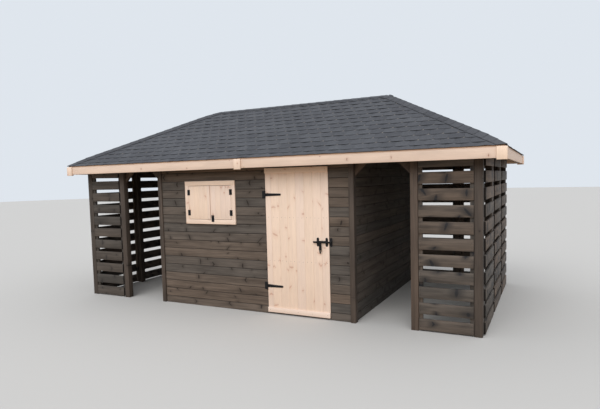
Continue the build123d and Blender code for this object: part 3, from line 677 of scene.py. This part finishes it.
def boarded_wall(name, node_name, run, opening=None, palest=0.0):
    """Tongued boards laid level over a wall's box, cut round its opening. run is x or y.

    palest is the tone of the palest board, from 0 for warm to 1 for cool and dark.
    """
    rng = random.Random(name)
    low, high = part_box(node_name)
    axis = "xy".index(run)
    thick = (low[1 - axis], high[1 - axis])
    tongue = (thick[0] + joint_depth, thick[1] - joint_depth)
    bm = new_mesh()
    for row_low, row_high in rows_of_boards(low.z, high.z):
        row = (low[axis], high[axis], row_low, row_high)
        tone = rng.uniform(palest, 1.0)
        state = rng.getstate()
        for start, end, bottom, top in cut_round(row, opening) if opening else [row]:
            rng.setstate(state)
            span = (start, end)
            joined = top == row_high and top < high.z
            foot = bottom + board_joint / 2 if bottom == row_low and bottom > low.z else bottom
            head = top - board_joint / 2 if joined else top
            x, y = (span, thick) if run == "x" else (thick, span)
            board(bm, x, y, (foot, head), rng, board_ease, along=run, segments=1, tone=tone)
            if joined:
                x, y = (span, tongue) if run == "x" else (tongue, span)
                z = (top - tongue_half, top + tongue_half)
                made = board(bm, x, y, z, rng, tongue_ease, along=run, segments=1)
                # Painted shade: the tongue takes the near-black end-grain finish, so the joint between
                # boards shows dark.
                for face in {f for v in made for f in v.link_faces}:
                    face.material_index = 1
        rng.random()
    add_piece(name, bm, [stained_boards, end_grain_and_joint_shade], "building", [node_name])


shutter_low, shutter_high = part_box("shutter_frame")
window = (
    shutter_low.x + shutter_bar,
    shutter_high.x - shutter_bar,
    shutter_low.z + shutter_bar,
    shutter_high.z - shutter_bar,
)
boarded_wall("front_boards_left", "front_wall_left", "x", window)
boarded_wall("front_boards_right", "front_wall_right", "x")
boarded_wall("boards_over_door", "front_wall_over_door", "x")
boarded_wall("back_boards", "back_wall", "x")
boarded_wall("left_side_boards", "left_room_wall", "y", palest=0.5)
boarded_wall("right_side_boards", "right_room_wall", "y", palest=0.5)

# Posts, plates, studs and braces
for node_name, name, tones in (
    ("room_posts", "room_corner_posts", whole_range),
    # The left bay's posts take only the dark, cool tones, as painted shade.
    ("left_bay_posts", "left_bay_timber_posts", (0.7, 1.0)),
    ("right_bay_posts", "right_bay_timber_posts", (0.9, 0.25)),
    ("long_top_plates", "long_wall_plates", whole_range),
    ("cross_top_plates", "cross_wall_plates", whole_range),
    ("wall_studs", "wall_upright_studs", whole_range),
    ("wall_rails", "wall_level_rails", whole_range),
    ("side_sole_plates", "side_wall_soles", whole_range),
):
    dressed(node_name, name, stained_posts, "building", tones=tones)


def brace_way(verts):
    """A brace's grain runs up its slope, which leans the way that its short corner points."""
    middle = verts_middle(verts)
    heavy = sum(v.co.x * (1 if v.co.z < middle.z else -1) for v in verts)
    lean = -1 if heavy > 0 else 1
    along = Vector((lean, 0, 1)).normalized()
    return along, Vector((-lean, 0, 1)).normalized()


dressed("corner_braces", "corner_knee_braces", stained_posts, "building", way=brace_way)


plate_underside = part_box("long_top_plates")[0].z


def slat_rows():
    count = int((plate_underside - slat_base + slat_gap) // (slat_height + slat_gap))
    return [slat_base + (slat_height + slat_gap) * row for row in range(count)]


def round_heads(bm, places, facing, radius):
    """Low round heads of screws or nails at the given places, turned to face along a direction."""
    turn = Vector((0, 0, 1)).rotation_difference(facing).to_matrix().to_4x4()
    for place in places:
        bmesh.ops.create_cone(
            bm,
            cap_ends=True,
            segments=10,
            radius1=radius,
            radius2=radius * head_taper,
            depth=head_thickness,
            matrix=Matrix.Translation(place) @ turn,
        )


def slatted_panel(bm, screws, span, gaps, face, turn, run, rng):
    """Slats over a batten at each end, with two screws at each slat's ends.

    face is the slats' back along the other level axis, and turn is the way that they face along it.
    """
    ends = (span[0] + gaps[0], span[1] - gaps[1])
    outer = face + turn * slat_thickness
    slats = sorted((face, outer))
    behind = sorted((face, face - turn * batten_thickness))
    places = []
    for z in slat_rows():
        x, y = (ends, slats) if run == "x" else (slats, ends)
        tone = rng.random()
        board(bm, x, y, (z, z + slat_height), rng, slat_ease, along=run, tone=tone, cut_ends=True)
        for end in (ends[0] + screw_from_end, ends[1] - screw_from_end):
            level = (end, outer) if run == "x" else (outer, end)
            places += [Vector((*level, z + slat_height * height)) for height in screw_heights]
    for batten in ((span[0], span[0] + batten_width), (span[1] - batten_width, span[1])):
        x, y = (batten, behind) if run == "x" else (behind, batten)
        board(bm, x, y, (slat_base, plate_underside), rng, batten_ease)
    facing = Vector((0, turn, 0)) if run == "x" else Vector((turn, 0, 0))
    round_heads(screws, places, facing, screw_radius)


def log_bay_panels(side, end):
    """All the slatted panels of one log bay. end is -1 for the left bay and 1 for the right one."""
    rng = random.Random(side + " panels")
    posts_low, posts_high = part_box(side + "_bay_posts")
    room_low, room_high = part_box("room_posts")
    screws = new_mesh()
    clear = (posts_low.x + post_size, posts_high.x - post_size)
    gaps = (slat_end_gap, left_panel_short if end < 0 else slat_end_gap)
    outside = (outside_slat_gap, outside_slat_gap)
    entrance = new_mesh()
    slatted_panel(entrance, screws, clear, gaps, posts_low.y + slat_thickness, -1, "x", rng)
    ends = new_mesh()
    face = posts_high.x if end > 0 else posts_low.x
    stops = [posts_low.y + post_size]
    for y in middle_post_rows:
        stops += [y - post_size / 2, y + post_size / 2]
    stops.append(posts_high.y - post_size)
    for span in zip(stops[::2], stops[1::2]):
        slatted_panel(ends, screws, span, outside, face, end, "y", rng)
    back = new_mesh()
    beside_room = (room_high.x, posts_low.x) if end > 0 else (posts_high.x, room_low.x)
    for span in (clear, beside_room):
        slatted_panel(back, screws, span, outside, posts_high.y, 1, "x", rng)
    for name, bm, finish, node_name in (
        # The left bay's entrance panel takes the darker slat finish, painted shade.
        ("_entrance_panel", entrance, shaded_calm_slats if end < 0 else stained_slats, "_front_slats"),
        ("_end_panels", ends, stained_slats, "_end_slats"),
        ("_back_panels", back, stained_slats, "_back_slats"),
    ):
        finishes = [finish, end_grain_and_joint_shade]
        add_piece(side + name, bm, finishes, "building", [side + node_name])
    add_piece(side + "_panel_screws", screws, [black_iron], "building")


log_bay_panels("left", -1)
log_bay_panels("right", 1)

# Roof: each slope is worked level, with its eaves along local x and its rise along local y
roof_low, roof_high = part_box("end_fascias")
half_run = (roof_high.y - roof_low.y) / 2
half_length = (roof_high.x - roof_low.x) / 2
ridge_half = half_length - half_run
slope_cos = math.cos(roof_pitch)
slope_sin = math.sin(roof_pitch)
slope_reach = half_run / slope_cos


def eaves_half(turn):
    """Half the length of a slope's eaves. turn counts quarter turns from the front slope."""
    return half_length if turn % 2 == 0 else half_run


def slope_frame(turn):
    """The matrix from a slope's level workplace to its place."""
    lean = Matrix.Rotation(roof_pitch, 4, "X")
    rise = Matrix.Translation((0, -eaves_half(turn + 1), eaves_height))
    return Matrix.Rotation(math.radians(90) * turn, 4, "Z") @ rise @ lean


def trim_to_slope(bm, turn):
    """Saws the level slope's work off at both hips and at the ridge."""
    half = eaves_half(turn)
    saw_off(bm, Vector((half, 0, 0)), Vector((1, slope_cos, -slope_sin)))
    saw_off(bm, Vector((-half, 0, 0)), Vector((-1, slope_cos, -slope_sin)))
    saw_off(bm, Vector((0, slope_reach, 0)), Vector((0, slope_cos, -slope_sin)))


def raise_slope(bm, turn, whole):
    """Trims a slope's level work and moves it to its place, into one bmesh with its fellows."""
    trim_to_slope(bm, turn)
    bmesh.ops.transform(bm, matrix=slope_frame(turn), verts=bm.verts)
    pour(bm, whole)


def boarded_slope(whole, turn, rng):
    half = eaves_half(turn)
    bm = new_mesh()
    start = fascia_thickness / slope_cos
    while start < slope_reach:
        end = start + deck_board
        z = (-deck_thickness, -deck_under_covering)
        board(bm, (-half, half), (start, end), z, rng, deck_ease, segments=1)
        start = end
    raise_slope(bm, turn, whole)


for name, turns, node_name in (
    ("front_sheathing", (0,), "front_roof_boards"),
    ("back_sheathing", (2,), "back_roof_boards"),
    ("end_sheathing", (1, 3), "end_roof_boards"),
):
    rng = random.Random(name)
    bm = new_mesh()
    for turn in turns:
        boarded_slope(bm, turn, rng)
    add_piece(name, bm, [roof_timber], "building", [node_name])


def rafter_way(verts):
    """A rafter's grain runs up its slope from the eaves, and a hip rafter's from its corner."""
    spans = [high - low for low, high in verts_reach(verts)[:2]]
    middle = verts_middle(verts)
    askew = min(spans) > widest_rafter
    inwards = Vector((-math.copysign(1, middle.x), -math.copysign(1, middle.y), 0))
    if not askew:
        inwards[0 if spans[0] <= spans[1] else 1] = 0
    level = inwards.normalized()
    slope = math.tan(roof_pitch) * (math.sqrt(0.5) if askew else 1)
    along = (level + Vector((0, 0, slope))).normalized()
    return along, along.cross(level.cross(Vector((0, 0, 1)))).normalized()


for node_name, name in (
    ("front_rafters", "front_slope_rafters"),
    ("back_rafters", "back_slope_rafters"),
    ("end_rafters", "end_slope_rafters"),
    ("hip_rafters", "hip_line_rafters"),
    ("ridge_board", "ridge_beam"),
):
    way = longest_way if node_name == "ridge_board" else rafter_way
    dressed(node_name, name, roof_timber, "building", ease=0.0015, way=way, segments=1)


def rounding(across):
    """How far a tab's rounded lower edge stands back, from 0 in its middle to 1 at its sides."""
    return 1 - (1 - abs(across) ** 2.2) ** (1 / 2.2)


def shingle_tab(bm, middle, bottom, rng, starter=False):
    """One rounded tab of a shingle, tilted to lie on the course below. It lies level, before the slope.

    Its lower edge is curled up a little in the middle. Its weather falls to 0 under the next course.
    """
    width = shingle_width - shingle_slot
    long = shingle_exposure + shingle_hidden
    made = bmesh.ops.create_grid(bm, x_segments=6, y_segments=2, size=0.5)["verts"]
    stops = {-0.5: -0.5, -0.333: -0.445, -0.167: -0.29, 0.0: 0.0, 0.167: 0.29, 0.333: 0.445, 0.5: 0.5}
    curl = rng.uniform(0.0020, 0.0085)
    tone = rng.random()
    shade = bm.verts.layers.float["tone"]
    weather = bm.verts.layers.float["weather"]
    for v in made:
        across = stops[min(stops, key=lambda stop: abs(stop - v.co.x))]
        up = v.co.y + 0.5
        edge = 0.0 if starter else shingle_rounding * rounding(2 * across)
        run = edge if up < 0.25 else curl_reach if up < 0.75 else long
        height = shingle_thickness * max(0.0, 1 - run / shingle_exposure)
        height += curl * (1 - abs(2 * across) ** 1.6) * max(0.0, 1 - run / curl_reach)
        v.co = Vector((middle + across * width, bottom + run, height))
        v[shade] = tone
        v[weather] = 1.0 if run < shingle_exposure else 0.0


def thicken_sheets(bm, flattest=0.55):
    """Gives open sheets their thickness upwards, with their edges and undersides in the second finish."""
    bmesh.ops.recalc_face_normals(bm, faces=bm.faces)
    for face in bm.faces:
        if face.normal.z < 0:
            face.normal_flip()
    bmesh.ops.solidify(bm, geom=list(bm.faces), thickness=-shingle_thickness)
    bmesh.ops.recalc_face_normals(bm, faces=bm.faces)
    for face in bm.faces:
        face.material_index = 0 if face.normal.z > flattest else 1


def add_shingles(name, bm, node_name):
    finishes = [mineral_shingle, cut_bitumen]
    add_piece(name, bm, finishes, "building", [node_name], smooth=False)


def shingled_slope(whole, turn, rng):
    half = eaves_half(turn)
    bm = new_mesh()
    course = 0
    bottom = first_course_back - covering_drip / slope_cos
    while bottom < slope_reach:
        reach = half - max(0.0, bottom) * slope_cos + shingle_width
        slip = rng.uniform(-course_slip, course_slip)
        place = -half - shingle_width + (shingle_width / 2 if course % 2 else 0.0) + slip
        index = 0
        while place < half + shingle_width:
            if abs(place) < reach:
                slip_down = rng.uniform(-tab_slip, tab_slip) if course else 0.0
                shingle_tab(bm, place, bottom + slip_down, rng, starter=course == 0)
            place += shingle_width
            index += 1
            if index % tabs_in_strip == 0:
                place += rng.uniform(-strip_slip, strip_slip)
        bottom += shingle_exposure if course else starter_exposure
        course += 1
    thicken_sheets(bm)
    raise_slope(bm, turn, whole)


for name, turns, node_name in (
    ("front_shingle_courses", (0,), "front_shingles"),
    ("back_shingle_courses", (2,), "back_shingles"),
    ("end_shingle_courses", (1, 3), "end_shingles"),
):
    rng = random.Random(name)
    bm = new_mesh()
    for turn in turns:
        shingled_slope(bm, turn, rng)
    add_shingles(name, bm, node_name)


def roof_height(x, y):
    """Height of the roof boarding's upper face over a place in plan."""
    in_from_eaves = min(half_run - abs(y), half_length - abs(x))
    return eaves_height + in_from_eaves * math.tan(roof_pitch)


def cap_sheet(bm, start, way, sides, length, crowns, held_up, rng):
    """One cap shingle bent over a hip or the ridge. way runs along the fold, and sides run down from it.

    held_up is how far the ridge's caps lie level on the hips' caps before they bend down with them.
    """
    made = bmesh.ops.create_grid(bm, x_segments=8, y_segments=2, size=0.5)["verts"]
    tone = rng.random()
    curl = rng.uniform(0.0, 0.0015)
    shade = bm.verts.layers.float["tone"]
    weather = bm.verts.layers.float["weather"]
    for v in made:
        across = v.co.x * 2
        share = v.co.y + 0.5
        side = sides[0] if across < 0 else sides[1]
        half = cap_half_width / math.hypot(side.x, side.y)
        arch = (1 - abs(across)) ** 0.8
        crown = crowns[0] + (crowns[1] - crowns[0]) * share
        height = cap_edge_rise + (crown - cap_edge_rise) * arch
        height += (shingle_thickness + curl * arch) * max(0.0, 1 - share * length / cap_exposure)
        rounded = shingle_rounding * rounding(across) if share < 0.25 else 0.0
        place = start + way * (share * length + rounded) + side * (abs(across) * half)
        level = roof_height(max(0.0, abs(place.x) - held_up), place.y)
        v.co = (place.x, place.y, level + shingle_thickness + height)
        v[shade] = tone
        v[weather] = 1.0


def crown_at(along, total, foot, middle, head):
    """Height of a run of caps over the fold, which rises from its foot and sinks to its head."""
    rise = min(1.0, along / cap_ramp)
    sink = min(1.0, (total - along) / cap_ramp)
    return min(foot + (middle - foot) * rise, head + (middle - head) * sink)


def cap_run(bm, start, way, sides, total, heights, rng, held_up=0.0):
    for step in range(math.ceil(total / cap_exposure)):
        along = step * cap_exposure
        length = min(cap_exposure + cap_overlap, total - along)
        if length > shortest_cap:
            crowns = [crown_at(place, total, *heights) for place in (along, along + length)]
            cap_sheet(bm, start + way * along, way, sides, length, crowns, held_up, rng)


def slope_down(turn):
    """The direction straight down a slope."""
    return (slope_frame(turn).to_3x3() @ Vector((0, -1, 0))).normalized()


def hip_caps(rng):
    bm = new_mesh()
    reach_x, reach_y = half_length + covering_drip, half_run + covering_drip
    for side_x, side_y in ((-1, -1), (1, -1), (1, 1), (-1, 1)):
        corner = Vector((side_x * reach_x, side_y * reach_y, roof_height(reach_x, reach_y)))
        top = Vector((side_x * ridge_half, 0, roof_height(ridge_half, 0)))
        way = (top - corner).normalized()
        downs = [slope_down(0 if side_y < 0 else 2), slope_down(1 if side_x > 0 else 3)]
        sides = [(down - way * down.dot(way)).normalized() for down in downs]
        cap_run(bm, corner, way, sides, (top - corner).length, (foot_crown, hip_crown, head_crown), rng)
    for axis, reach in enumerate((half_length, half_run)):
        for normal in (directions[axis], -directions[axis]):
            saw_off(bm, normal * (reach + covering_drip), normal, close=False)
    return bm


def ridge_caps(rng):
    bm = new_mesh()
    start = Vector((-ridge_half - ridge_lap, 0, roof_height(0, 0)))
    sides = [slope_down(0), slope_down(2)]
    total = 2 * (ridge_half + ridge_lap)
    cap_run(bm, start, directions[0], sides, total, (ridge_crown,) * 3, rng, ridge_held_up)
    return bm


cap_rng = random.Random("caps")
for name, bm, node_name in (
    ("hip_cap_shingles", hip_caps(cap_rng), "hip_caps"),
    ("ridge_cap_shingles", ridge_caps(cap_rng), "ridge_cap"),
):
    thicken_sheets(bm, flattest=0.6)
    add_shingles(name, bm, node_name)


# Fascia boards and their cover blocks
def painted_shade_under_the_drip(material):
    """Paints warm brown shade along the fascia's top edge, under the shingles' drip."""
    tree = material.node_tree
    colour = tree.nodes["Principled BSDF"].inputs["Base Color"]
    wood = colour.links[0].from_socket
    height = node(tree, "SeparateXYZ", {0: object_place(tree)}).outputs[2]
    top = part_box("front_fascia")[1].z
    painted_shade = fade(tree, height, top - painted_shade_from_top[0], top - painted_shade_from_top[1], 0.0, 0.8)
    # Painted shade: a warm brown band just below the fascia's top edge.
    tree.links.new(blend(tree, painted_shade, wood, (0.54, 0.31, 0.17)), colour)


def upright(_):
    """The cover blocks' grain, which runs up and then across."""
    return Vector((0, 0, 1)), Vector((1, 0, 0))


painted_shade_under_the_drip(fascia_pine)
for node_name, name in (
    ("front_fascia", "front_fascia_boards"),
    ("back_fascia", "back_fascia_boards"),
    ("end_fascias", "end_fascia_boards"),
):
    dressed(node_name, name, fascia_pine, "building", ease=0.0022)
dressed(
    "fascia_cover_blocks", "fascia_cover_pieces", raw_pine, "building",
    ease=0.0025, way=upright,
)


# Door
def door_leaf():
    rng = random.Random("door")
    low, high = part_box("door_planks")
    lines = [low.x, low.x + door_first_line]
    while lines[-1] < high.x - least_board:
        lines.append(lines[-1] + door_plank)
    lines[-1] = high.x
    planks = list(zip(lines, lines[1:]))
    bm = new_mesh()
    for x in planks:
        board(bm, x, (low.y, high.y), (low.z, high.z), rng, door_plank_ease, along="z")
    add_piece("door_boards", bm, [raw_pine], "door", ["door_planks"])
    ledges = new_mesh()
    outside = (low.y - door_rail_thickness, low.y)
    inside = (high.y, high.y + ledge_thickness)
    ledge_x = (low.x + ledge_inset, high.x - ledge_inset)
    for z in (low.z, high.z - door_rail_height):
        board(ledges, (low.x, high.x), outside, (z, z + door_rail_height), rng, door_rail_ease)
    for z in ledge_heights:
        board(ledges, ledge_x, inside, (z - ledge_height / 2, z + ledge_height / 2), rng, ledge_ease)
    add_piece("door_ledges", ledges, [raw_pine], "door", ["door_rails"])
    places = []
    for start, end in planks:
        for z in ledge_heights:
            for share in plank_nails if end - start > narrow_plank else (0.5,):
                x = start + (end - start) * share
                places.append(Vector((x, low.y, z + rng.uniform(-nail_wander, nail_wander))))
    for z in (low.z + door_rail_height / 2, high.z - door_rail_height / 2):
        for share in rail_nails:
            places.append(Vector((low.x + (high.x - low.x) * share, outside[0], z)))
    nails = new_mesh()
    round_heads(nails, places, Vector((0, -1, 0)), nail_radius)
    add_piece("door_nails", nails, [dull_nail], "door")


door_leaf()


# Shutter
def shutter():
    rng = random.Random("shutter")
    low, high = shutter_low, shutter_high
    left, right, sill, head = window
    surround = new_mesh()
    for x, z in (
        ((low.x, high.x), (head, high.z)),
        ((low.x, high.x), (low.z, sill)),
        ((low.x, left), (sill, head)),
        ((right, high.x), (sill, head)),
    ):
        board(surround, x, (low.y, high.y), z, rng, shutter_ease)
    add_piece("shutter_surround", surround, [raw_pine], "building", ["shutter_frame"])
    leaf_low, leaf_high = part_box("shutter_leaves")
    y = (low.y, leaf_high.y)
    z = (leaf_low.z, leaf_high.z)
    joint = (low.x + high.x) / 2 + shutter_joint_off_middle - shutter_leaf_gap / 2
    strip = joint - astragal_width
    leaves = new_mesh()
    board(leaves, (strip + strip_groove, joint), y, z, rng, behind_strip_ease, along="z")
    for start, end, tones in (
        (leaf_low.x, strip, (0.0, 0.35)),
        (joint + shutter_leaf_gap / 2, leaf_high.x, (0.6, 1.0)),
    ):
        while start < end:
            stop = end if end - start < widest_shutter_plank else start + shutter_plank
            tone = rng.uniform(*tones)
            board(leaves, (start, stop), y, z, rng, shutter_plank_ease, along="z", tone=tone)
            start = stop
    board(leaves, (strip, joint), (leaf_low.y, low.y), z, rng, strip_ease, along="z", tone=0.8)
    add_piece("shutter_leaf_boards", leaves, [raw_pine], "building", ["shutter_leaves"])


shutter()

# Iron fittings keep the shapes of their nodes, with rounded edges
for node_name, name, body in (
    ("door_hinge_plates", "door_hinge_wall_plates", "building"),
    ("door_hinge_straps", "door_hinge_strap_irons", "door"),
    ("bolt_guides", "bolt_guide_loops", "door"),
    ("bolt_keeper", "bolt_keeper_loop", "building"),
    ("bolt_rod", "bolt_rod_and_handle", "bolt"),
    ("shutter_fittings", "shutter_hinges_and_bolt", "building"),
):
    dressed(node_name, name, black_iron, body, ease=0.0006, segments=1)


# Floor and light
def seen_and_lit(tree, seen, lit):
    """One colour for camera, glossy and see-through rays, and another for the light that spreads."""
    rays = node(tree, "LightPath").outputs
    direct = sums(tree, "MAXIMUM", rays["Is Camera Ray"], rays["Is Glossy Ray"])
    direct = sums(tree, "MAXIMUM", direct, rays["Is Transmission Ray"])
    return blend(tree, direct, lit, seen)


def pale_floor():
    """A floor that is pale to look at, and sends little light up under the roof."""
    material, tree, surface = finish_of("plain floor", Roughness=0.9)
    place = node(tree, "SeparateXYZ", {0: object_place(tree)}).outputs
    past_end = sums(tree, "SUBTRACT", sums(tree, "ABSOLUTE", place[0]), half_length)
    past_front = sums(tree, "SUBTRACT", sums(tree, "ABSOLUTE", place[1]), half_run)
    outside = fade(tree, sums(tree, "MAXIMUM", past_end, past_front), -0.6, 0.0)
    lit = blend(tree, outside, (0.08, 0.08, 0.08), (0.41, 0.29, 0.185))
    coat(tree, surface, seen_and_lit(tree, (0.50, 0.49, 0.475), lit))
    bm = bmesh.new()
    bmesh.ops.create_circle(bm, cap_ends=True, segments=64, radius=floor_radius)
    mesh = bpy.data.meshes.new("floor")
    bm.to_mesh(mesh)
    bm.free()
    mesh.materials.append(material)
    floor = bpy.data.objects.new("floor", mesh)
    floor.location.z = -floor_drop
    scene.collection.objects.link(floor)


def soft_surroundings():
    """A pale backdrop, and light that comes mostly from above and from the front."""
    world = bpy.data.worlds.new("studio")
    scene.world = world
    world.use_nodes = True
    tree = world.node_tree
    towards = node(tree, "SeparateXYZ", {0: node(tree, "TexCoord").outputs["Generated"]}).outputs
    behind = sums(tree, "SUBTRACT", towards[1], sums(tree, "MULTIPLY", towards[2], 1.2))
    from_front = fade(tree, behind, -0.5, 0.15, 1.0, 0.42)
    from_above = fade(tree, towards[2], 0.05, 0.60, 0.12, 1.60)
    lit = blend(tree, sums(tree, "MULTIPLY", from_front, from_above), (0.0, 0.0, 0.0), (1.06, 1.09, 1.13))
    backdrop = seen_and_lit(tree, (0.74, 0.79, 0.85), lit)
    tree.links.new(backdrop, tree.nodes["Background"].inputs["Color"])


def soft_sun():
    lamp = bpy.data.lights.new("soft sun", "SUN")
    lamp.energy = 1.55
    lamp.color = (1.0, 0.985, 0.965)
    lamp.angle = math.radians(55)
    sun = bpy.data.objects.new("soft sun", lamp)
    sun.rotation_euler = (math.radians(49), 0, math.radians(8))
    scene.collection.objects.link(sun)


pale_floor()
soft_surroundings()
soft_sun()
